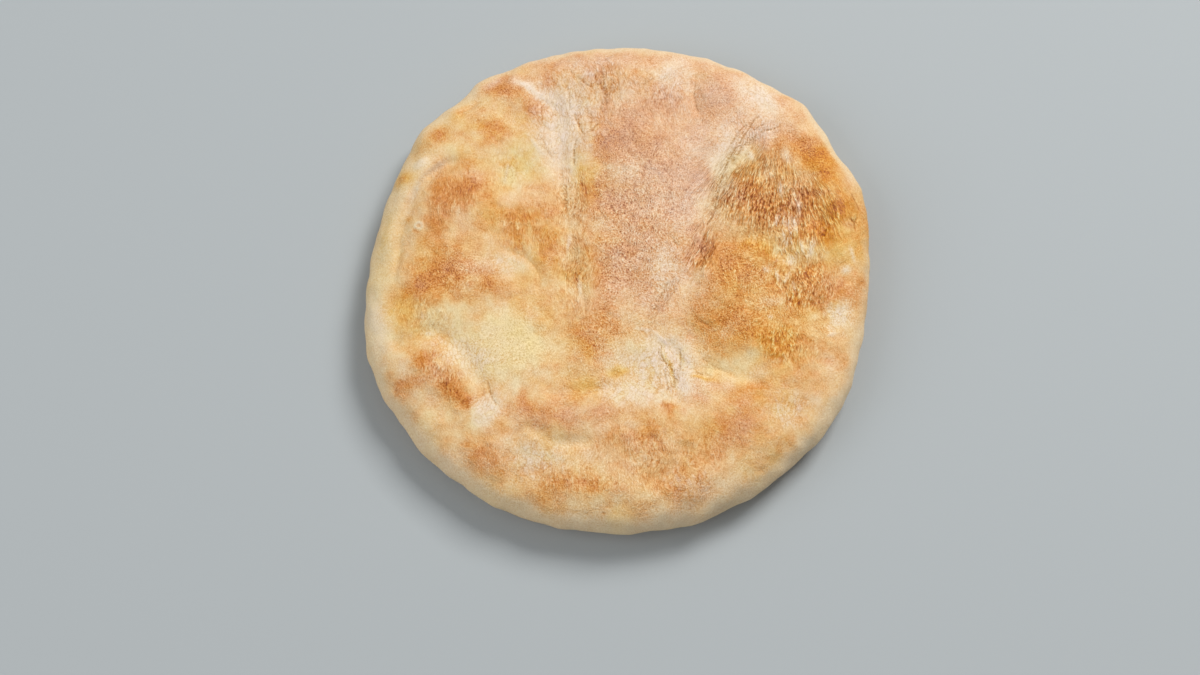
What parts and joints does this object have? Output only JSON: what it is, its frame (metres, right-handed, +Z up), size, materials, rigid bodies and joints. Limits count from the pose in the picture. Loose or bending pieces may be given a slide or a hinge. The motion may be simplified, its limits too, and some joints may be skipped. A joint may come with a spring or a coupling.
{
  "type": "lepinja flatbread",
  "caption": "Round leavened flatbread with a soft pale rim and an uneven, blistered, brown-patched crust, lying on its flat underside.",
  "frame": {"origin": "middle of the flat underside that the bread lies on", "axes": "+Z up out of the browned crust, +X to the right and +Y to the edge farthest from the viewer"},
  "size_m": [0.201, 0.2044, 0.0253],
  "materials": {
    "crust": "matte baked crust, cream to golden brown in soft patches, with a thin film of flour"
  },
  "bodies": {
    "root": {"lepinja": "crust"}
  },
  "joints": []
}
